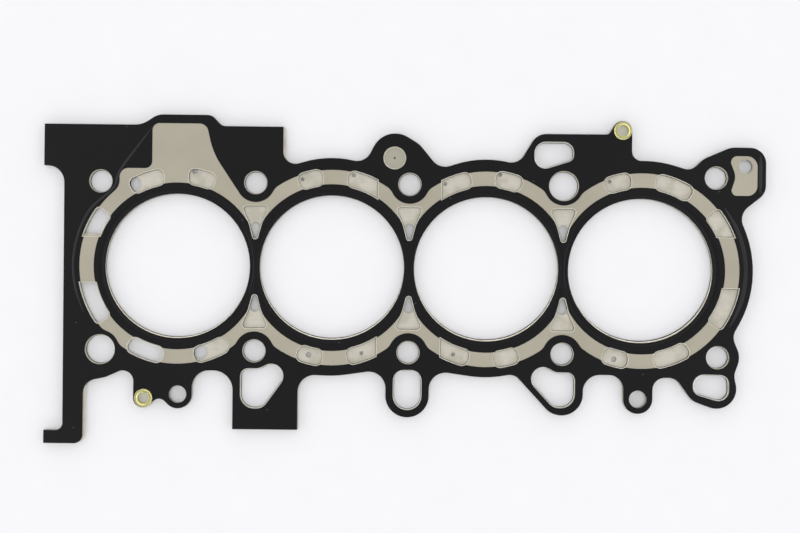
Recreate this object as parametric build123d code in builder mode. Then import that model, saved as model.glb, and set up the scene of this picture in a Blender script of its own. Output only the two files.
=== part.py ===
from build123d import *
import os

# Multi-layer steel cylinder head gasket for an in-line engine with four cylinders.
#
# Two outer sheets of spring steel lie either side of a bare steel spacer. Each outer sheet is
# embossed with a bead round every cylinder bore, and the beads press on the spacer, so that the
# sheets stand a little apart while the gasket is free. Black rubber is printed on the upper sheet,
# apart from the masked areas where the steel stays bare. Two hollow rivets hold the stack together.
#
# Millimetres. The origin is on the axis of bore 1, at the height of the underside. +X runs along
# the row of bores, +Y towards the exhaust side and +Z up to the cylinder head.

# Driving dimensions
BORE_PITCH = 87.0
BORE_COUNT = 4
BORE_DIAMETER = 81.5
BOLT_SPAN = 95.0  # across the bores, between the two rows of head bolts
BOLT_HOLE = 13.2
DOWEL_HOLE = 17.0
OIL_HOLE = 9.8
RIVET_HOLE = 7.1
LOWER_CLEARANCE = 0.3  # how much smaller in radius the holes of the two lower layers are

SHEET = 0.25  # spring steel of each outer layer
COATING = 0.05  # rubber film
SPACER = 0.5  # plain steel between the outer layers
BEAD_HEIGHT = 0.35  # free height of the bead round each bore
BEAD_RADIUS = 43.2  # of its crest
BEAD_HALF_WIDTH = 1.6

BAND_INNER = 47.1  # bare steel over the water jacket, round each bore
BAND_OUTER = 55.2
SLOT_INNER = 46.7  # coolant openings, which cut a little past both edges of the band
SLOT_OUTER = 55.8
JACKET_HALF_WIDTH = 37.2  # of the bare steel across the webs between bores
BOLT_LAND = 22.0  # rubber round each head bolt

# Places along and across the engine that follow from them
BORES = [(number * BORE_PITCH, 0) for number in range(BORE_COUNT)]
LAST_BORE = BORES[-1][0]
HALF_PITCH = BORE_PITCH / 2
BOLT_Y = BOLT_SPAN / 2
MIDDLE = LAST_BORE / 2


def station(number):
    """X of a row of bolts: row 0 stands ahead of bore 1, and row 4 behind bore 4."""
    return number * BORE_PITCH - HALF_PITCH


def face_of(corners):
    """Flat shape from corners given as x, y, radius, in order round its edge."""
    with BuildSketch(mode=Mode.PRIVATE) as shape:
        with BuildLine():
            FilletPolyline(
                *[(x, y) for x, y, radius in corners],
                radius=[radius for x, y, radius in corners],
                close=True,
            )
        make_face()
    return shape.sketch


def ring_sector(centre, start, end, corner):
    """Slot that follows the water jacket round a bore between two angles, with rounded corners."""
    with BuildSketch(mode=Mode.PRIVATE) as shape:
        with BuildLine():
            inner = CenterArc(centre, SLOT_INNER, start, end - start)
            outer = CenterArc(centre, SLOT_OUTER, start, end - start)
            Line(inner @ 0, outer @ 0)
            Line(inner @ 1, outer @ 1)
        make_face()
        fillet(shape.vertices(), corner)
    return shape.sketch


# Outer edge, in stretches, clockwise from the front corner of the timing cover flange. Each corner
# is x, y and the radius it is rounded to.
SHARP = 0
front_flange = [
    (-76, 56, SHARP),
    (-76, 79.5, SHARP),
    (-21, 79.5, 14),
    (-12.2, 85.4, 10),
    (18.3, 85.4, 6),
    (24.2, 79.2, 5),
    (58.8, 79.2, SHARP),
    (58.8, 55.9, 7),
]
exhaust_side = [
    (84.2, 63.7, 56),
    (105.1, 59.2, 8.5),
    (116.5, 81.7, 13.6),
    (135.7, 70.2, 14),
    (147.3, 56.2, 9),
    (170.6, 63.9, 56),
    (191.7, 59.4, 8.5),
    (202.1, 76.8, 9),
    (242.6, 76.9, 3),
    (247.1, 84.5, 5.3),
    (255.7, 84.5, 5.3),
    (255.7, 62.2, 5.5),
    (271.9, 62.2, 61.7),
    (289.2, 56.8, 7),
    (296.2, 63.7, 12.7),
    (311.5, 70.3, 10),
]
rear_end = [
    (331.5, 70.3, 9),
    (331.5, 44.6, 9),
    (316.1, 32.5, 9),
    (332.2, -3.7, 62.3),
    (313.3, -36.4, 8),
    (318.3, -48, 12),
    (314.6, -58.2, 8),
    (317.2, -70.5, 11),
    (306.9, -78.6, 11),
    (291, -73, 10.6),
]
intake_side = [
    (281.8, -60.1, 8),
    (268.7, -60.1, 7),
    (268.7, -80.6, 8.2),
    (252.2, -80.6, 8.2),
    (252.2, -58.9, 8),
    (229.5, -58.9, 9.5),
    (229.4, -82, 12),
    (212.1, -82, 12),
    (190.6, -58.9, 7),
    (174.8, -61.7, 61.7),
    (142.4, -57.2, 9.5),
    (142.4, -84, 12.1),
    (118, -84, 12.1),
    (118, -57, 9.5),
    (89.5, -61.2, 61.7),
    (68.4, -60.4, 9.5),
    (68.4, -91.8, SHARP),
    (31.7, -91.8, SHARP),
    (31.7, -58.8, 11),
    (8.7, -58.8, 9.5),
    (8.7, -80.4, 8),
    (-2.7, -80.4, 8),
    (-9.8, -73.2, 4.5),
    (-16.6, -80.1, 5.3),
    (-24.4, -80.1, 5.3),
    (-24.4, -56, 6),
    (-40, -63.2, 15.8),
]
front_leg = [
    (-52.8, -65.8, 8),
    (-52.8, -100.8, 5),
    (-74.9, -100.8, SHARP),
    (-74.9, -93.4, SHARP),
    (-64.2, -93.4, 4),
    (-64.6, 56, 9.5),
]
OUTLINE = front_flange + exhaust_side + rear_end + intake_side + front_leg
outline = face_of(OUTLINE)

# Openings that pass through every layer
MAIN_BOLTS = [(station(1), BOLT_Y), (station(2), BOLT_Y)]
MAIN_BOLTS += [(station(number), -BOLT_Y) for number in (1, 2, 3)]
CORNER_BOLTS = [(-44.0, BOLT_Y), (303.5, 53.0), (305.3, -48.4)]
DOWELS = [(station(0), -BOLT_Y), (station(3), BOLT_Y)]
OIL_RETURNS = [(0.7, -72.4), (260.4, -72.4)]
RIVETS = [(-18.7, -74.8), (250.5, 79.1)]
VENT = (320.1, 59.6)
VENT_DIAMETER = 8.0

exhaust_drain = [(200.6, 72.5, 6.5), (223.1, 72.5, 6), (223.1, 62.1, 4), (200.6, 54.9, 6.3)]
front_drain = [
    (35.8, -57.3, 4.5),
    (46.5, -57.3, 8),
    (55.1, -52.8, 6.8),
    (62.1, -61.3, 6.8),
    (48.7, -80.1, 7),
    (35.8, -80.1, 8),
]
middle_drain = [(122.1, -57.3, 6), (138.4, -57.3, 6), (138.4, -80, 8), (122.1, -80, 8)]
rear_drain = [
    (225, -57.7, 4.5),
    (214, -57.7, 8),
    (205.1, -52.8, 6.6),
    (198.1, -62.1, 6.6),
    (212.9, -78, 7),
    (225, -78, 8),
]
corner_drain = [(291.5, -57.9, 6.3), (312, -58.2, 5), (312, -75, 6), (291.5, -69, 5)]
DRAINS = [face_of(s) for s in (exhaust_drain, front_drain, middle_drain, rear_drain, corner_drain)]


def openings_of(clearance):
    """Bores, holes and drains of one layer, smaller by a clearance where bolts and dowels pass."""
    with BuildSketch(mode=Mode.PRIVATE) as openings:
        with Locations(*BORES):
            Circle(BORE_DIAMETER / 2)
        with Locations(*MAIN_BOLTS, *CORNER_BOLTS):
            Circle(BOLT_HOLE / 2 - clearance)
        with Locations(*DOWELS):
            Circle(DOWEL_HOLE / 2 - clearance)
        with Locations(*OIL_RETURNS):
            Circle(OIL_HOLE / 2)
        with Locations(*RIVETS):
            Circle(RIVET_HOLE / 2)
        with Locations(VENT):
            Circle(VENT_DIAMETER / 2)
        add(DRAINS)
    return openings.sketch


# Coolant openings of the outer sheets, by the middle of their bore and the angles where each begins
# and ends. The ones next to the middle row of bolts are cut off square to the row of bores.
FRONT_JACKET = (-0.4, 0)  # the band runs a little further out at both ends of the block
REAR_JACKET = (LAST_BORE + 0.9, 0)
SLOT_CORNER = 3.6
END_CORNER = 2.2
end_slots = [(FRONT_JACKET, 143.4, 217, END_CORNER), (REAR_JACKET, -36.5, 40, END_CORNER)]
exhaust_slots = [
    (BORES[0], 99.4, 121.5, SLOT_CORNER),
    (BORES[0], 66.8, 83.6, SLOT_CORNER),
    (BORES[1], 96.3, 111.7, SLOT_CORNER),
    (BORES[1], 52, 80.4, SLOT_CORNER),
    (BORES[2], 100, 128, SLOT_CORNER),
    (BORES[2], 67.7, 84.5, SLOT_CORNER),
    (BORES[3], 96.2, 112.9, SLOT_CORNER),
    (BORES[3], 56.6, 80.5, SLOT_CORNER),
]
intake_slots = [
    (BORES[0], -121.9, -98.9, SLOT_CORNER),
    (BORES[0], -79, -56.7, SLOT_CORNER),
    (BORES[1], -111.6, -95.5, SLOT_CORNER),
    (BORES[1], -80, -52, SLOT_CORNER),
    (BORES[2], -128, -100.4, SLOT_CORNER),
    (BORES[2], -84.6, -68.8, SLOT_CORNER),
    (BORES[3], -113.6, -97.3, SLOT_CORNER),
    (BORES[3], -80.7, -57.8, SLOT_CORNER),
]
web_opening = face_of(
    [(0, 12.2, 1.3), (3.2, 24.3, 15), (7.6, 34.5, 1.8), (-7.6, 34.5, 1.8), (-3.2, 24.3, 15)]
)
UNCUT_MIDDLE = 36.4  # length left whole round the middle row of bolts
FRONT_BRIDGE = (-10.0, 16.4)  # Y range left whole at the front end of the jacket
REAR_BRIDGE = (-9.6, 19.6)


def coolant_of(slots):
    """The given coolant openings, less the places where the sheet is left whole."""
    with BuildSketch(mode=Mode.PRIVATE) as coolant:
        for slot in slots:
            add(ring_sector(*slot))
        with Locations((MIDDLE, BOLT_Y), (MIDDLE, -BOLT_Y)):
            Rectangle(UNCUT_MIDDLE, BOLT_LAND, mode=Mode.SUBTRACT)
        for x, (low, high) in ((-SLOT_OUTER, FRONT_BRIDGE), (LAST_BORE + SLOT_OUTER, REAR_BRIDGE)):
            with Locations((x, (low + high) / 2)):
                Rectangle(HALF_PITCH, high - low, mode=Mode.SUBTRACT)
    return coolant.sketch


with BuildSketch(mode=Mode.PRIVATE) as coolant_openings:
    add(coolant_of(end_slots + exhaust_slots + intake_slots))
    with Locations(*[(station(number), 0) for number in (1, 2, 3)]):
        add(web_opening)
        add(web_opening.rotate(Axis.Z, 180))

# Bare areas of the upper sheet: the band over the water jacket, a pocket by the front exhaust
# corner that opens into it, and a window round the vent
BAND_CENTRES = [FRONT_JACKET, *BORES[1:-1], REAR_JACKET]
LAND_BLEND = 8.0  # where the rubber round a bolt runs into the edge of the band
front_pocket = [
    (-15.1, 80.5, 4),
    (15.4, 80.5, 5),
    (19.3, 63.9, 40),
    (34.4, 41.4, 1),
    (0, 46, 3),
    (-33.4, 40, 3),
    (-33.4, 55, 5),
    (-15.1, 55, 4),
]
POCKET_FOOT = (-33.4, 44.2)  # where the side of the pocket meets the band
vent_window = [(310, 65.5, 3.5), (326.7, 65.5, 6), (326.7, 43.1, 5.5), (311, 43.1, 3), (314.6, 54, 9)]


def on_land(corner):
    """Whether a corner of the bare area lies on the rubber round a bolt or dowel."""
    gaps = [(corner.center() - Vector(x, y)).length for x, y in MAIN_BOLTS + DOWELS]
    return min(gaps) < BOLT_LAND / 2 + 0.01


with BuildSketch(mode=Mode.PRIVATE) as bare_area:
    with Locations(*BAND_CENTRES):
        Circle(BAND_OUTER)
    with Locations((MIDDLE, 0)):
        Rectangle(LAST_BORE, 2 * JACKET_HALF_WIDTH)
    with Locations(*MAIN_BOLTS, *DOWELS):
        Circle(BOLT_LAND / 2, mode=Mode.SUBTRACT)
    fillet(bare_area.vertices().filter_by(on_land), LAND_BLEND)
    add(face_of(front_pocket))
    fillet(bare_area.vertices().sort_by_distance(POCKET_FOOT)[0], LAND_BLEND)
    with Locations(*BAND_CENTRES):
        Circle(BAND_INNER, mode=Mode.SUBTRACT)
    add(face_of(vent_window))


# Heights of the undersides of the layers
LOWER_SHEET = SHEET + COATING  # black all over, so it is one piece with its rubber
SPACER_Z = LOWER_SHEET + BEAD_HEIGHT
UPPER_Z = SPACER_Z + SPACER + BEAD_HEIGHT
COATING_Z = UPPER_Z + SHEET
TOP_Z = COATING_Z + COATING


def bead_rings(base, depth):
    """Rings of triangular section round every bore, on height base, with the crest at base + depth."""
    with BuildPart(mode=Mode.PRIVATE) as ring:
        with BuildSketch(Plane.XZ):
            with BuildLine():
                Polyline(
                    (BEAD_RADIUS - BEAD_HALF_WIDTH, base),
                    (BEAD_RADIUS, base + depth),
                    (BEAD_RADIUS + BEAD_HALF_WIDTH, base),
                    close=True,
                )
            make_face()
        revolve(axis=Axis.Z)
    with BuildPart(mode=Mode.PRIVATE) as rings:
        with Locations(*[(x, y, 0) for x, y in BORES]):
            add(ring.part)
    return rings.part


# Openings of the upper sheet, which the rubber on it shares
CAPPED_PORT = (121.8, 62.3)  # closed by the spacer but for a pin hole
CAPPED_PORT_DIAMETER = 12.9
with BuildSketch(mode=Mode.PRIVATE) as upper_shape:
    add(outline)
    add(openings_of(0), mode=Mode.SUBTRACT)
    add(coolant_openings.sketch, mode=Mode.SUBTRACT)
    with Locations(CAPPED_PORT):
        Circle(CAPPED_PORT_DIAMETER / 2, mode=Mode.SUBTRACT)

# Upper sheet, embossed downwards round the bores
with BuildPart() as upper_layer:
    with BuildSketch(Plane.XY.offset(UPPER_Z)):
        add(upper_shape.sketch)
    extrude(amount=SHEET)
    add(bead_rings(UPPER_Z, -BEAD_HEIGHT))
    add(bead_rings(UPPER_Z + SHEET, -BEAD_HEIGHT), mode=Mode.SUBTRACT)

# Rubber on the upper sheet: one field outside the bare band, and one round the bores that follows
# the bead
with BuildSketch(mode=Mode.PRIVATE) as rubber_shape:
    add(upper_shape.sketch)
    add(bare_area.sketch, mode=Mode.SUBTRACT)
rubber_fields = rubber_shape.sketch.faces().sort_by(SortBy.AREA)

with BuildPart() as outer_coating:
    with BuildSketch(Plane.XY.offset(COATING_Z)):
        add(rubber_fields[-1])
    extrude(amount=COATING)

with BuildPart() as bore_coating:
    with BuildSketch(Plane.XY.offset(COATING_Z)):
        add(rubber_fields[-2])
    extrude(amount=COATING)
    add(bead_rings(COATING_Z, -BEAD_HEIGHT))
    add(bead_rings(TOP_Z, -BEAD_HEIGHT), mode=Mode.SUBTRACT)

# Spacer: it bridges the coolant openings, with metering holes through it, and leaves three open.
# It stands a little proud of the sheets along the flange and the leg
METER_AT_WEB = (20.6, 9.6, 5.0)  # Y, length and width of the slots at the webs
LARGE_METERS = [(-25.3, 45.9), (13.0, -48.6)]
LARGE_METER_DIAMETER = 8.4
METERS = [(9, 53.6), (74.3, -49.5), (246.8, -50)]
METER_DIAMETER = 3.2
SMALL_METERS = [(69.8, 49.7), (98.8, 52.3), (104.2, -48.1), (150.5, 48), (156, -48.3)]
SMALL_METERS += [(181.5, 53.5), (243.3, 50.3)]
SMALL_METER_DIAMETER = 2.2
PIN_HOLE_DIAMETER = 1.2
OPEN_SLOTS = [(FRONT_JACKET, 143.4, 217, END_CORNER), (BORES[0], -121.9, -98.9, SLOT_CORNER)]
SPACER_LEDGE = (-48.7, 17.05)  # strip of spacer that shows at the foot of the upper front opening
LEDGE_LENGTH = 11.0
LEDGE_WIDTH = 1.5
spacer_lips = [
    [(50, 60, SHARP), (60, 60, SHARP), (60, 79.2, 1.2), (50, 79.2, SHARP)],
    [(-60, -66.5, SHARP), (-51.6, -66.5, SHARP), (-51.6, -100.8, 6), (-60, -100.8, SHARP)],
]
NIB_DIAMETER = 1.4  # left by the strip on the edge of the bores
NIBS = [(41.2, -2.6), (128.1, -4.4), (215.1, -4.2)]

with BuildPart() as middle_layer:
    with BuildSketch(Plane.XY.offset(SPACER_Z)):
        add(outline)
        add(openings_of(LOWER_CLEARANCE), mode=Mode.SUBTRACT)
        add(coolant_of(OPEN_SLOTS), mode=Mode.SUBTRACT)
        with Locations(SPACER_LEDGE):
            Rectangle(LEDGE_LENGTH, LEDGE_WIDTH)
        add([face_of(lip) for lip in spacer_lips])
        meter_y, meter_length, meter_width = METER_AT_WEB
        webs = [(station(number), side * meter_y) for number in (1, 2, 3) for side in (1, -1)]
        with Locations(*webs):
            SlotOverall(meter_length, meter_width, rotation=90, mode=Mode.SUBTRACT)
        with Locations(*LARGE_METERS):
            Circle(LARGE_METER_DIAMETER / 2, mode=Mode.SUBTRACT)
        with Locations(*METERS):
            Circle(METER_DIAMETER / 2, mode=Mode.SUBTRACT)
        with Locations(*SMALL_METERS):
            Circle(SMALL_METER_DIAMETER / 2, mode=Mode.SUBTRACT)
        with Locations(CAPPED_PORT):
            Circle(PIN_HOLE_DIAMETER / 2, mode=Mode.SUBTRACT)
        with Locations(*NIBS):
            Circle(NIB_DIAMETER / 2)
    extrude(amount=SPACER)

# Lower sheet, embossed upwards round the bores
with BuildPart() as lower_layer:
    with BuildSketch():
        add(outline)
        add(openings_of(LOWER_CLEARANCE), mode=Mode.SUBTRACT)
        add(coolant_openings.sketch, mode=Mode.SUBTRACT)
        with Locations(CAPPED_PORT):
            Circle(CAPPED_PORT_DIAMETER / 2, mode=Mode.SUBTRACT)
    extrude(amount=LOWER_SHEET)
    add(bead_rings(LOWER_SHEET, BEAD_HEIGHT))
    add(bead_rings(0, BEAD_HEIGHT), mode=Mode.SUBTRACT)

# Hollow rivets through all three layers, with a flange rolled over on both sides
RIVET_BORE = 6.2
RIVET_FLANGE = 10.2
FLANGE_THICKNESS = 0.35
FLANGE_ROUND = 0.15


def rivet(place):
    """Eyelet whose flanges grip the stack at a place."""
    with BuildPart(mode=Mode.PRIVATE) as eyelet:
        with BuildSketch(Plane.XZ):
            with BuildLine():
                Polyline(
                    (RIVET_BORE / 2, -FLANGE_THICKNESS),
                    (RIVET_FLANGE / 2, -FLANGE_THICKNESS),
                    (RIVET_FLANGE / 2, 0),
                    (RIVET_HOLE / 2, 0),
                    (RIVET_HOLE / 2, TOP_Z),
                    (RIVET_FLANGE / 2, TOP_Z),
                    (RIVET_FLANGE / 2, TOP_Z + FLANGE_THICKNESS),
                    (RIVET_BORE / 2, TOP_Z + FLANGE_THICKNESS),
                    close=True,
                )
            make_face()
        revolve(axis=Axis.Z)
        rims = eyelet.edges().filter_by(GeomType.CIRCLE).group_by(Axis.Z)
        chamfer(rims[0] + rims[-1], FLANGE_ROUND)
    return Pos(*place) * eyelet.part


with BuildPart() as front_eyelet:
    add(rivet(RIVETS[0]))
with BuildPart() as rear_eyelet:
    add(rivet(RIVETS[1]))

upper_layer.part.label = "upper_layer"
outer_coating.part.label = "outer_coating"
bore_coating.part.label = "bore_coating"
middle_layer.part.label = "middle_layer"
lower_layer.part.label = "lower_layer"
front_eyelet.part.label = "front_eyelet"
rear_eyelet.part.label = "rear_eyelet"

os.makedirs("parts", exist_ok=True)
export_step(upper_layer.part, "parts/upper_layer.step")
export_step(outer_coating.part, "parts/outer_coating.step")
export_step(bore_coating.part, "parts/bore_coating.step")
export_step(middle_layer.part, "parts/middle_layer.step")
export_step(lower_layer.part, "parts/lower_layer.step")
export_step(front_eyelet.part, "parts/front_eyelet.step")
export_step(rear_eyelet.part, "parts/rear_eyelet.step")
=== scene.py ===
import math

import bpy
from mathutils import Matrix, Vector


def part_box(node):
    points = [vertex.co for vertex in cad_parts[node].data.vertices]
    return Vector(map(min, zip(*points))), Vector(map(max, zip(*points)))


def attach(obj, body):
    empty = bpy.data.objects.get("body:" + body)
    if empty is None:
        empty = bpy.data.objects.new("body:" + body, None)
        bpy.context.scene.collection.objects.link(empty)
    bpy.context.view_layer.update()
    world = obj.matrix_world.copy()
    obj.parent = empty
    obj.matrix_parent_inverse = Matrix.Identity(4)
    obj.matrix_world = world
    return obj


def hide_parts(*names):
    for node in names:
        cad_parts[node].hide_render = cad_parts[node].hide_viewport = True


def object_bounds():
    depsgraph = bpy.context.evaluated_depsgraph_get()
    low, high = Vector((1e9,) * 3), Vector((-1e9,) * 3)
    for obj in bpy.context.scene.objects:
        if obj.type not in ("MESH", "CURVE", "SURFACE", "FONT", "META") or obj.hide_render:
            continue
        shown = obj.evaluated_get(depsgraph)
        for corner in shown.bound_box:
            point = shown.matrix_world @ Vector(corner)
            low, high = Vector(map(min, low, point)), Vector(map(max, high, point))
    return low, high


# Cylinder head gasket of three steel sheets for an engine with four cylinders. The sections follow
# the way it is stacked: lower sheet, spacer, upper sheet, rubber and rivets, and then the studio.
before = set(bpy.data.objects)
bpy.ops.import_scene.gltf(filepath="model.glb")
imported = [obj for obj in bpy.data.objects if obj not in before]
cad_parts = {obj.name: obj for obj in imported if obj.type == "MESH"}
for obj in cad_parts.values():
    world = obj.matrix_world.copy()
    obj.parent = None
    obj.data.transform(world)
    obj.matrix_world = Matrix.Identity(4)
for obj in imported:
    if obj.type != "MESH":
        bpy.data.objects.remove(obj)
cad_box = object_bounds()


# Lower sheet: embossed spring steel, dipped in nitrile rubber all over before it was blanked.
# The rubber gives a flat, faintly grainy black, and its cut edge is as dark as its face.
def linear(hex_colour):
    """Linear colour with alpha from an sRGB hex value."""
    channels = [int(hex_colour[place : place + 2], 16) / 255 for place in (0, 2, 4)]
    curved = [c / 12.92 if c <= 0.04045 else ((c + 0.055) / 1.055) ** 2.4 for c in channels]
    return (*curved, 1)


def add_node(material, kind, inputs, **settings):
    """A node of that kind in the material. Inputs are values, or sockets to link from."""
    tree = material.node_tree
    node = tree.nodes.new("ShaderNode" + kind)
    for name, value in settings.items():
        setattr(node, name, value)
    for name, value in inputs.items():
        if isinstance(value, bpy.types.NodeSocket):
            tree.links.new(value, node.inputs[name])
        else:
            node.inputs[name].default_value = value
    return node


def new_material(name):
    """An empty node material, its shader and the output of its Object coordinates."""
    material = bpy.data.materials.new(name)
    material.use_nodes = True
    shader = material.node_tree.nodes["Principled BSDF"]
    place = add_node(material, "TexCoord", {}).outputs["Object"]
    return material, shader, place


def feed(material, shader, **sockets):
    """Links outputs to the shader's sockets, named with underscores for spaces."""
    for name, output in sockets.items():
        material.node_tree.links.new(output, shader.inputs[name.replace("_", " ")])


# Nitrile rubber, roller coated 25 micrometres thick on primed steel: black, soft sheen. Its grain
# is 0.1 mm, drawn 1.2 mm coarse so that it shows. The coat's slow unevenness is about 30 mm across,
# and a grain of dust half a millimetre wide sticks to it here and there.
GRAIN = 1 / 0.0012
UNEVENNESS = 1 / 0.03
DUST_SPACING = 1 / 0.042
DUST_SIZE = 0.009
dipped_rubber, shader, place = new_material("dipped_nitrile_rubber")
shader.inputs["IOR"].default_value = 1.52
shader.inputs["Specular IOR Level"].default_value = 0.2
grain = add_node(dipped_rubber, "TexNoise", {"Vector": place, "Scale": GRAIN, "Detail": 3})
cloud = add_node(dipped_rubber, "TexNoise", {"Vector": place, "Scale": UNEVENNESS, "Detail": 2})
fresh = add_node(
    dipped_rubber,
    "MixRGB",
    {"Fac": cloud.outputs["Fac"], "Color1": linear("08080a"), "Color2": linear("0e0e10")},
)
dust = add_node(
    dipped_rubber, "TexVoronoi", {"Vector": place, "Scale": DUST_SPACING}, voronoi_dimensions="2D"
)
speck = add_node(
    dipped_rubber,
    "MapRange",
    {"Value": dust.outputs["Distance"], "From Min": DUST_SIZE, "From Max": DUST_SIZE / 2},
)
tone = add_node(
    dipped_rubber,
    "MixRGB",
    {
        "Fac": speck.outputs["Result"],
        "Color1": fresh.outputs["Color"],
        "Color2": linear("5c5a56"),
    },
)
sheen = add_node(
    dipped_rubber, "MapRange", {"Value": grain.outputs["Fac"], "To Min": 0.5, "To Max": 0.62}
)
relief = add_node(
    dipped_rubber,
    "Bump",
    {"Strength": 0.25, "Distance": 0.00002, "Height": grain.outputs["Fac"]},
)
feed(
    dipped_rubber,
    shader,
    Base_Color=tone.outputs["Color"],
    Roughness=sheen.outputs["Result"],
    Normal=relief.outputs["Normal"],
)
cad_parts["lower_layer"].data.materials.clear()
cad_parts["lower_layer"].data.materials.append(dipped_rubber)


# Spacer: a plain cold-rolled strip of stainless steel between the embossed sheets. It shows at the
# bottom of the coolant openings and as a bright line where it stands proud, paler than the sheets.
# Rolling leaves fine lines along the strip, 0.05 mm apart and drawn 0.7 mm apart, and a soft gloss.
# The primer on it dries in faint clouds about 8 mm across, and is thin where it caps the port.
ROLLING_LINES = 1 / 0.0007
LINE_STRETCH = 0.02
PRIMER_CLOUDS = 1 / 0.008
CAPPED_PORT = (0.1218, 0.0623, 0.00115)
CAP_REACH = (0.0074, 0.0068)


def rolling_lines(material, place):
    """Noise drawn out into lines along the strip."""
    stretched = add_node(
        material, "Mapping", {"Vector": place, "Scale": (LINE_STRETCH, 1, 1)}
    ).outputs["Vector"]
    inputs = {"Vector": stretched, "Scale": ROLLING_LINES, "Detail": 2}
    return add_node(material, "TexNoise", inputs).outputs["Fac"]


spacer_steel, shader, place = new_material("cold_rolled_steel")
shader.inputs["Metallic"].default_value = 0.6
lines = rolling_lines(spacer_steel, place)
clouds = add_node(spacer_steel, "TexNoise", {"Vector": place, "Scale": PRIMER_CLOUDS, "Detail": 3})
stain = add_node(
    spacer_steel,
    "MapRange",
    {"Value": clouds.outputs["Fac"], "From Min": 0.3, "From Max": 0.6},
    interpolation_type="SMOOTHSTEP",
)
streaks = add_node(
    spacer_steel,
    "MixRGB",
    {"Fac": lines, "Color1": linear("d8d2c2"), "Color2": linear("e7e2d4")},
)
primed = add_node(
    spacer_steel,
    "MixRGB",
    {
        "Fac": stain.outputs["Result"],
        "Color1": linear("cdc8b6"),
        "Color2": streaks.outputs["Color"],
    },
)
from_port = add_node(spacer_steel, "VectorMath", {0: place, 1: CAPPED_PORT}, operation="DISTANCE")
cap = add_node(
    spacer_steel,
    "MapRange",
    {"Value": from_port.outputs["Value"], "From Min": CAP_REACH[0], "From Max": CAP_REACH[1]},
)
tone = add_node(
    spacer_steel,
    "MixRGB",
    {
        "Fac": cap.outputs["Result"],
        "Color1": primed.outputs["Color"],
        "Color2": linear("bfbbaa"),
    },
)
sheen = add_node(spacer_steel, "MapRange", {"Value": lines, "To Min": 0.38, "To Max": 0.5})
feed(spacer_steel, shader, Base_Color=tone.outputs["Color"], Roughness=sheen.outputs["Result"])
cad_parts["middle_layer"].data.materials.clear()
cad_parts["middle_layer"].data.materials.append(spacer_steel)


# Upper sheet: spring steel, embossed and blanked, and left bare of rubber over the water jacket.
# A thin baked primer tints the steel a warm grey and dulls it.
spring_steel, shader, place = new_material("primed_spring_steel")
shader.inputs["Metallic"].default_value = 0.5
lines = rolling_lines(spring_steel, place)
cloud = add_node(spring_steel, "TexNoise", {"Vector": place, "Scale": UNEVENNESS, "Detail": 2})
tone = add_node(
    spring_steel,
    "MixRGB",
    {"Fac": cloud.outputs["Fac"], "Color1": linear("afa996"), "Color2": linear("c5bfad")},
)
sheen = add_node(spring_steel, "MapRange", {"Value": lines, "To Min": 0.42, "To Max": 0.55})
feed(spring_steel, shader, Base_Color=tone.outputs["Color"], Roughness=sheen.outputs["Result"])
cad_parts["upper_layer"].data.materials.clear()
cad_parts["upper_layer"].data.materials.append(spring_steel)


# Rolled edges of the coolant openings: the punch draws the edge of the upper sheet over and
# burnishes it, so each opening has a narrow rounded rim, also where it cuts into the rubber. The
# rim is paler than the sheet, partly as burnished steel and partly as a painted highlight of the
# light it catches.
JACKETS = ((-0.0004, 0), (0.087, 0), (0.174, 0), (0.2619, 0))
NEAREST_WALL = 0.042
FURTHEST_WALL = 0.0563
DOWEL_HOLES = [(-0.0435, -0.0475), (0.2175, 0.0475)]
DOWEL_REACH = 0.0095
WELD = 0.000002
RIM_WIDTH = 0.0005
RIM_DEPTH = 0.0002
RIM_PROUD = 0.00003
RIM_ROUND = 0.0001
RIM_CORNER = 60
RIM_SMOOTH = 40
BURNISH_MARKS = 1 / 0.002
LEVEL = 0.1
PIVOT = (-0.55, 0, 0)
spacer_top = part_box("middle_layer")[1][2]
sheet_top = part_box("upper_layer")[1][2]
rubber_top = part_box("outer_coating")[1][2]


def edges_coolant(face):
    """Whether a wall is one of a coolant opening."""
    x, y, _ = face.center
    reach = min(math.dist((x, y), jacket) for jacket in JACKETS)
    to_dowel = min(math.dist((x, y), dowel) for dowel in DOWEL_HOLES)
    return NEAREST_WALL < reach < FURTHEST_WALL and to_dowel > DOWEL_REACH


def edge_strip(name, node, wanted, heights, width, outset, material, turn=0):
    """A strip along some walls of a sheet, which may lie turned about the pivot by an angle.

    A width below nought goes into the sheet.
    """
    bpy.ops.object.select_all(action="DESELECT")
    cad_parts[node].select_set(True)
    bpy.context.view_layer.objects.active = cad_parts[node]
    bpy.ops.object.duplicate()
    strip = bpy.context.object
    strip.name = name
    strip.data.materials.clear()
    bpy.ops.object.mode_set(mode="EDIT")
    bpy.ops.mesh.select_mode(type="FACE")
    bpy.ops.mesh.select_all(action="SELECT")
    bpy.ops.mesh.remove_doubles(threshold=WELD)
    bpy.ops.mesh.select_all(action="DESELECT")
    bpy.ops.object.mode_set(mode="OBJECT")
    for face in strip.data.polygons:
        face.select = abs(face.normal.z) > LEVEL or not wanted(face)
    bpy.ops.object.mode_set(mode="EDIT")
    bpy.ops.mesh.delete(type="FACE")
    bpy.ops.object.mode_set(mode="OBJECT")
    levels = [corner.co.z for corner in strip.data.vertices]
    share = (heights[1] - heights[0]) / (max(levels) - min(levels))
    still = (heights[0] - share * min(levels)) / (1 - share)
    bpy.ops.object.mode_set(mode="EDIT")
    bpy.ops.mesh.select_all(action="SELECT")
    bpy.ops.transform.resize(value=(1, 1, share), center_override=(0, 0, still))
    bpy.ops.transform.rotate(value=turn, orient_axis="Z", center_override=PIVOT)
    bpy.ops.transform.shrink_fatten(value=outset)
    bpy.ops.object.mode_set(mode="OBJECT")
    breadth = strip.modifiers.new("breadth", "SOLIDIFY")
    breadth.thickness = abs(width)
    breadth.offset = math.copysign(1, width)
    breadth.use_even_offset = True
    bpy.ops.object.modifier_apply(modifier="breadth")
    strip.data.materials.append(material)
    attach(strip, "root")
    return strip


# Paler steel for the rims and the port edge: partly burnished steel, partly a painted highlight.
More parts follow.
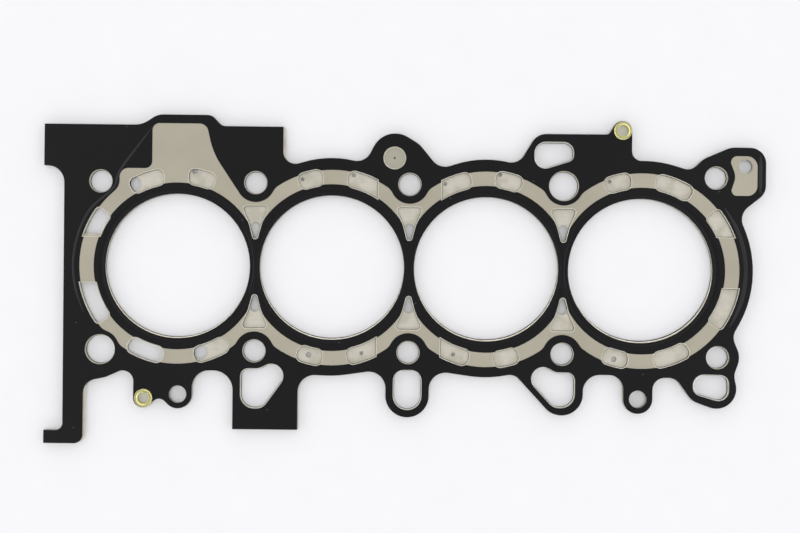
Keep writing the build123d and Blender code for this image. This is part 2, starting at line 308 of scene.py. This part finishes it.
burnished_highlight_steel, shader, place = new_material("burnished_steel_painted_highlight")
shader.inputs["Metallic"].default_value = 0.5
marks = add_node(burnished_highlight_steel, "TexNoise", {"Vector": place, "Scale": BURNISH_MARKS, "Detail": 2})
tone = add_node(
    burnished_highlight_steel,
    "MixRGB",
    {"Fac": marks.outputs["Fac"], "Color1": linear("c6c2b2"), "Color2": linear("dedaca")},
)
sheen = add_node(
    burnished_highlight_steel, "MapRange", {"Value": marks.outputs["Fac"], "To Min": 0.3, "To Max": 0.45}
)
feed(burnished_highlight_steel, shader, Base_Color=tone.outputs["Color"], Roughness=sheen.outputs["Result"])
rim_heights = (sheet_top - RIM_DEPTH, rubber_top + RIM_PROUD)
rims = edge_strip(
    "rolled_edges", "upper_layer", edges_coolant, rim_heights, -RIM_WIDTH, WELD, burnished_highlight_steel
)
rolled = rims.modifiers.new("rolled", "BEVEL")
rolled.width = RIM_ROUND
rolled.segments = 2
rolled.angle_limit = math.radians(RIM_CORNER)
bpy.ops.object.modifier_apply(modifier="rolled")
bpy.ops.object.shade_smooth_by_angle(angle=math.radians(RIM_SMOOTH))


# Foot of the coolant openings: where the spacer closes an opening, a thin strip of black rubber
# round the foot of the upper sheet's wall is painted shadow, the dark line in the gap under the
# sheet.
SHADOW_LINE_WIDTH = 0.0002
SHADOW_LINE_RISE = 0.00005
SHADOW_LINE_DROP = 0.00003
UPPER_SHEET = 0.00025
FRONT_SLOTS = -0.04
INTAKE_SLOT = (-0.03, -0.006)
INTAKE_SIDE = -0.04


def closed_by_spacer(face):
    """Whether a wall is one of a coolant opening, apart from the three that go right through."""
    x, y, _ = face.center
    at_front = x < FRONT_SLOTS
    at_intake = INTAKE_SLOT[0] < x < INTAKE_SLOT[1] and y < INTAKE_SIDE
    return edges_coolant(face) and not at_front and not at_intake


sheet_foot = sheet_top - UPPER_SHEET
shadow_line_heights = (sheet_foot - SHADOW_LINE_DROP, sheet_foot + SHADOW_LINE_RISE)
# Painted shadow: a black strip along the foot of the wall.
edge_strip(
    "painted_shadow_line", "upper_layer", closed_by_spacer, shadow_line_heights, SHADOW_LINE_WIDTH, 0, dipped_rubber
)


# Cut edges in the holes and drains: the three sheets are punched apart and never line up quite, so
# a bright line of spacer and then a dark line of the lower sheet show inside the upper sheet. The
# spacer's line is painted paler than its steel, as painted light that lifts the shade inside the
# opening.
BOLT_HOLES = [(-0.044, 0.0475), (0.0435, 0.0475), (0.1305, 0.0475), (0.3035, 0.053)]
BOLT_HOLES += [(0.0435, -0.0475), (0.1305, -0.0475), (0.2175, -0.0475), (0.3053, -0.0484)]
HOLE_REACH = 0.0095
DRAINS = [(0.212, 0.0665), (0.047, -0.066), (0.1302, -0.0685), (0.216, -0.066), (0.301, -0.065)]
DRAIN_REACH = 0.016
HOLE_STEPS = (0.0001, 0.0003)
DRAIN_STEPS = (0.0005, 0.0007)
CUT_DEPTH = 0.0003
LOWER_CUT = (0.00012, 0.00028)


def faces_one_of(face, openings, reach):
    """Whether a wall belongs to one of the openings, so that it faces its middle."""
    x, y, _ = face.center
    for across, along in openings:
        inward = face.normal.x * (across - x) + face.normal.y * (along - y)
        if math.dist((x, y), (across, along)) < reach and inward > 0:
            return True
    return False


def edges_hole(face):
    """Whether a wall is one of a bolt hole or a dowel hole."""
    return faces_one_of(face, BOLT_HOLES + DOWEL_HOLES, HOLE_REACH)


def edges_drain(face):
    """Whether a wall is one of a drain."""
    return faces_one_of(face, DRAINS, DRAIN_REACH)


# Painted light: the spacer's cut edge is made paler than its steel to lift the shade in the holes.
painted_light_sheared_steel = burnished_highlight_steel.copy()
painted_light_sheared_steel.name = "painted_light_sheared_steel"
for node in painted_light_sheared_steel.node_tree.nodes:
    if node.bl_idname == "ShaderNodeMixRGB":
        node.inputs["Color1"].default_value = linear("e6e3d7")
        node.inputs["Color2"].default_value = linear("f4f2ea")
lower_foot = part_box("lower_layer")[0][2]
for opening, wanted, steps in (
    ("hole", edges_hole, HOLE_STEPS),
    ("drain", edges_drain, DRAIN_STEPS),
):
    bright, dark = steps
    cut = (spacer_top - CUT_DEPTH, spacer_top - WELD)
    edge_strip(opening + "_spacer_edge", "middle_layer", wanted, cut, bright, 0, painted_light_sheared_steel)
    cut = (lower_foot + LOWER_CUT[0], lower_foot + LOWER_CUT[1])
    edge_strip(opening + "_lower_edge", "lower_layer", wanted, cut, dark, 0, dipped_rubber)


# Bore edges: only two rivets hold the sheets, so the lower two lie turned by a twentieth of a
# degree or more. A crescent of pale spacer and a thin dark one of the lower sheet show on the
# intake side of each bore.
BORE_PITCH = 0.087
BORES = [(BORE_PITCH * number, 0) for number in range(4)]
BORE_RADIUS = 0.04075
BORE_PLAY = 0.00012
SPACER_TURN = -0.0008
LOWER_TURN = -0.0014
CRESCENT_WIDTH = 0.0012
LOWER_SHEET = 0.0003


def edges_bore(face):
    """Whether a wall is on the intake side of a bore."""
    reach = min(math.dist(face.center[:2], bore) for bore in BORES)
    return abs(reach - BORE_RADIUS) < BORE_PLAY and face.normal.y > LEVEL


spacer_heights = (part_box("middle_layer")[0][2] + WELD, spacer_top - WELD)
edge_strip(
    "bore_spacer_edge",
    "middle_layer",
    edges_bore,
    spacer_heights,
    -CRESCENT_WIDTH,
    0,
    spacer_steel,
    SPACER_TURN,
)
lower_heights = (lower_foot + WELD, lower_foot + LOWER_SHEET - WELD)
edge_strip(
    "bore_lower_edge",
    "lower_layer",
    edges_bore,
    lower_heights,
    -CRESCENT_WIDTH,
    0,
    dipped_rubber,
    LOWER_TURN,
)


# Port edge: the upper sheet is pressed down on the spacer where that caps the port, and the steel
# of its edge shows as a pale ring.
PORT_REACH = 0.0075
PORT_EDGE = 0.0004


def edges_port(face):
    """Whether a wall is one of the capped port."""
    return math.dist(face.center[:2], CAPPED_PORT[:2]) < PORT_REACH


port_heights = (spacer_top, sheet_top - RIM_DEPTH)
# The ring is in the rims' steel, whose pale colour is partly a painted highlight.
edge_strip("port_edge", "upper_layer", edges_port, port_heights, PORT_EDGE, 0, burnished_highlight_steel)


# Rubber on the upper sheet: nitrile rubber screen printed through a mask, which leaves the band
# over the water jacket bare. It follows the bead round each bore, so a soft line of light shows.
printed_rubber = dipped_rubber.copy()
printed_rubber.name = "printed_nitrile_rubber"
for name in ("outer_coating", "bore_coating"):
    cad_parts[name].data.materials.clear()
    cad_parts[name].data.materials.append(printed_rubber)


# Outer bead: the upper sheet is embossed in a low ridge outside the bare band, to seal the jacket
# at the two ends. Its rubber is a lighter grey, a painted highlight on the crest, so it shows as a
# faint grey line.
JACKET_BEAD = 0.0589
BORE_BEAD = 0.043
BORE_GROOVE = 0.00031
SHOULDER = [(-0.0144, 0.0793), (-0.0245, 0.0658), (-0.0345, 0.0523), (-0.0353, 0.0446)]
SHOULDER += [(-0.0428, 0.0381)]
VENT_BEAD = (0.3283, 0.0663)
VENT_STEP = 0.0045
ARC_STEP = 10
FADED = 0.2
RIDGE_SMOOTH = 60
# Painted highlight: a lighter grey copy of the rubber for the bead ridges and the bore glints.
painted_highlight_rubber = dipped_rubber.copy()
painted_highlight_rubber.name = "painted_highlight_nitrile_rubber"
for node in painted_highlight_rubber.node_tree.nodes:
    if node.bl_idname == "ShaderNodeMixRGB" and not node.inputs["Color1"].is_linked:
        node.inputs["Color1"].default_value = linear("232324")
        node.inputs["Color2"].default_value = linear("2f2f31")


def arc_points(centre, radius, start, end):
    """Points on an arc, in degrees anticlockwise from the rear of the engine."""
    angles = [math.radians(degrees) for degrees in range(start, end + 1, ARC_STEP)]
    return [(centre[0] + radius * math.cos(a), centre[1] + radius * math.sin(a)) for a in angles]


def emboss(name, points, width, rise, level):
    """A low ridge at a level along a line of points, which fades out at both ends."""
    bpy.ops.object.select_all(action="DESELECT")
    bpy.ops.curve.primitive_nurbs_path_add()
    ridge = bpy.context.object
    ridge.name = name
    crest = ridge.data.splines[0]
    crest.points.add(len(points) - len(crest.points))
    for crest_point, (x, y) in zip(crest.points, points):
        crest_point.co = (x, y, level, 1)
    for end in (0, -1):
        crest.points[end].radius = FADED
    crest.order_u = 3
    crest.use_endpoint_u = True
    ridge.data.bevel_depth = width / 2
    ridge.data.bevel_resolution = 3
    ridge.data.use_fill_caps = True
    bpy.ops.object.convert(target="MESH")
    bpy.ops.object.mode_set(mode="EDIT")
    bpy.ops.mesh.select_all(action="SELECT")
    flat = (1, 1, 2 * rise / width)
    bpy.ops.transform.resize(value=flat, center_override=(0, 0, level))
    bpy.ops.object.mode_set(mode="OBJECT")
    bpy.ops.object.shade_smooth_by_angle(angle=math.radians(RIDGE_SMOOTH))
    ridge.data.materials.append(painted_highlight_rubber)
    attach(ridge, "root")


groove = rubber_top - BORE_GROOVE
front_line = SHOULDER + arc_points(JACKETS[0], JACKET_BEAD, 147, 207)
rear_line = arc_points(JACKETS[-1], JACKET_BEAD, -32, 38)
vent_line = [(VENT_BEAD[0], VENT_BEAD[1] - VENT_STEP * number) for number in range(6)]
# The bore glints are thin ridges in the bore grooves, carrying the painted highlight.
front_bore_line = arc_points(BORES[0], BORE_BEAD, -26, 34)
rear_bore_line = arc_points(BORES[-1], BORE_BEAD, 152, 202)
for name, line, width, rise, level in (
    ("front_bead", front_line, 0.0013, 0.00016, rubber_top),
    ("rear_bead", rear_line, 0.0022, 0.00012, rubber_top),
    ("vent_bead", vent_line, 0.002, 0.00012, rubber_top),
    ("front_bore_glint", front_bore_line, 0.0005, 0.00012, groove),
    ("rear_bore_glint", rear_bore_line, 0.0005, 0.00012, groove),
):
    emboss(name, line, width, rise, level)


# Hollow rivets: drawn from brass strip and rolled over above and below, to hold the sheets
# together. The roll leaves a round lip at the bore and a smaller one at the rim, with a valley
# between them, and the drawn metal keeps a soft gloss with a greenish yellow tone.
RIVETS = {"front_eyelet": (-0.0187, -0.0748), "rear_eyelet": (0.2505, 0.0791)}
RIVET_SIDES = 64
RIVET_SMOOTH = 50
RIVET_NECK = 0.00355
DRAWING_MARKS = 1 / 0.0008
ROLL = (
    (0.0031, 0.0003),
    (0.00314, 0.00014),
    (0.00324, 0.00004),
    (0.0034, 0),
    (0.00358, 0.00001),
    (0.00372, 0.00006),
    (0.00386, 0.00016),
    (0.004, 0.00026),
    (0.0042, 0.0003),
    (0.0044, 0.00027),
    (0.00453, 0.0002),
    (0.00465, 0.00012),
    (0.0048, 0.00009),
    (0.00494, 0.00013),
    (0.00504, 0.00021),
    (0.00509, 0.00031),
    (0.00508, 0.00035),
    (RIVET_NECK, 0.00035),
)
brass, shader, place = new_material("drawn_brass")
shader.inputs["Metallic"].default_value = 1
drawing = add_node(brass, "TexNoise", {"Vector": place, "Scale": DRAWING_MARKS, "Detail": 2})
tone = add_node(
    brass,
    "MixRGB",
    {"Fac": drawing.outputs["Fac"], "Color1": linear("c6c07c"), "Color2": linear("dedaa2")},
)
sheen = add_node(
    brass, "MapRange", {"Value": drawing.outputs["Fac"], "To Min": 0.14, "To Max": 0.24}
)
feed(brass, shader, Base_Color=tone.outputs["Color"], Roughness=sheen.outputs["Result"])
for eyelet, (x, y) in RIVETS.items():
    foot_level, head_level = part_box(eyelet)[0][2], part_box(eyelet)[1][2]
    profile = [(radius, head_level - drop) for radius, drop in ROLL]
    profile += [(radius, foot_level + drop) for radius, drop in reversed(ROLL)]
    bpy.ops.object.select_all(action="DESELECT")
    radius, level = profile[0]
    bpy.ops.mesh.primitive_circle_add(vertices=RIVET_SIDES, radius=radius, location=(x, y, level))
    rivet = bpy.context.object
    rivet.name = "rolled_" + eyelet
    bpy.ops.object.transform_apply(location=True)
    bpy.ops.object.mode_set(mode="EDIT")
    bpy.ops.mesh.select_mode(type="EDGE")
    bpy.ops.mesh.select_all(action="SELECT")
    for next_radius, next_level in profile[1:] + profile[:1]:
        bpy.ops.mesh.extrude_region_move(
            TRANSFORM_OT_translate={"value": (0, 0, next_level - level)}
        )
        growth = next_radius / radius
        bpy.ops.transform.resize(value=(growth, growth, 1), center_override=(x, y, next_level))
        radius, level = next_radius, next_level
    bpy.ops.mesh.select_all(action="SELECT")
    bpy.ops.mesh.remove_doubles(threshold=WELD)
    bpy.ops.mesh.normals_make_consistent(inside=False)
    bpy.ops.object.mode_set(mode="OBJECT")
    bpy.ops.object.shade_smooth_by_angle(angle=math.radians(RIVET_SMOOTH))
    rivet.data.materials.append(brass)
    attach(rivet, "root")
    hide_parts(eyelet)


# Studio: a white table in a light tent, which is lit through its walls, so that most light comes
# from the sides and little from above. The tent is white to the camera.
FLOOR_SIZE = 6
FLOOR_CENTRE = (0.13, 0)
CARD_FIBRES = 1 / 0.02
TENT_WALL = 4.7
TENT_TOP = 0.63
TENT_BEND = 0.6
bpy.ops.object.select_all(action="DESELECT")
bpy.ops.mesh.primitive_plane_add(size=FLOOR_SIZE, location=(*FLOOR_CENTRE, cad_box[0][2]))
table = bpy.context.object
table.name = "table"
white_card, shader, place = new_material("white_card")
shader.inputs["Roughness"].default_value = 0.9
shader.inputs["Specular IOR Level"].default_value = 0
fibres = add_node(white_card, "TexNoise", {"Vector": place, "Scale": CARD_FIBRES, "Detail": 2})
tone = add_node(
    white_card,
    "MixRGB",
    {"Fac": fibres.outputs["Fac"], "Color1": linear("f4f4f5"), "Color2": linear("f7f7f8")},
)
feed(white_card, shader, Base_Color=tone.outputs["Color"])
table.data.materials.append(white_card)

world = bpy.data.worlds.new("studio")
bpy.context.scene.world = world
world.use_nodes = True
background = world.node_tree.nodes["Background"]
direction = add_node(world, "TexCoord", {}).outputs["Generated"]
height = add_node(world, "SeparateXYZ", {"Vector": direction}).outputs["Z"]
to_zenith = add_node(
    world,
    "MapRange",
    {"Value": height, "From Max": TENT_BEND, "To Min": TENT_WALL, "To Max": TENT_TOP},
    interpolation_type="SMOOTHSTEP",
)
seen = add_node(world, "LightPath", {}).outputs["Is Camera Ray"]
strength = add_node(
    world, "MapRange", {"Value": seen, "To Min": to_zenith.outputs["Result"], "To Max": 1}
)
background.inputs["Color"].default_value = linear("fbfbfd")
world.node_tree.links.new(strength.outputs["Result"], background.inputs["Strength"])

# Camera: straight above the gasket, 0.42 m up, turned by the small angle at which the gasket lies.
CAMERA_HEIGHT = 0.42
VIEW_WIDTH = 0.4512
VIEW_CENTRE = (0.12544, 0.00106)
VIEW_ROLL = 0.65
SENSOR_WIDTH = 36
bpy.ops.object.camera_add(location=(*VIEW_CENTRE, cad_box[1][2] + CAMERA_HEIGHT))
camera = bpy.context.object
camera.rotation_euler = (0, 0, math.radians(VIEW_ROLL))
camera.data.sensor_width = SENSOR_WIDTH
camera.data.lens = SENSOR_WIDTH * CAMERA_HEIGHT / VIEW_WIDTH
camera.data.clip_start = 0.01
bpy.context.scene.camera = camera
bpy.context.scene.view_settings.view_transform = "Standard"
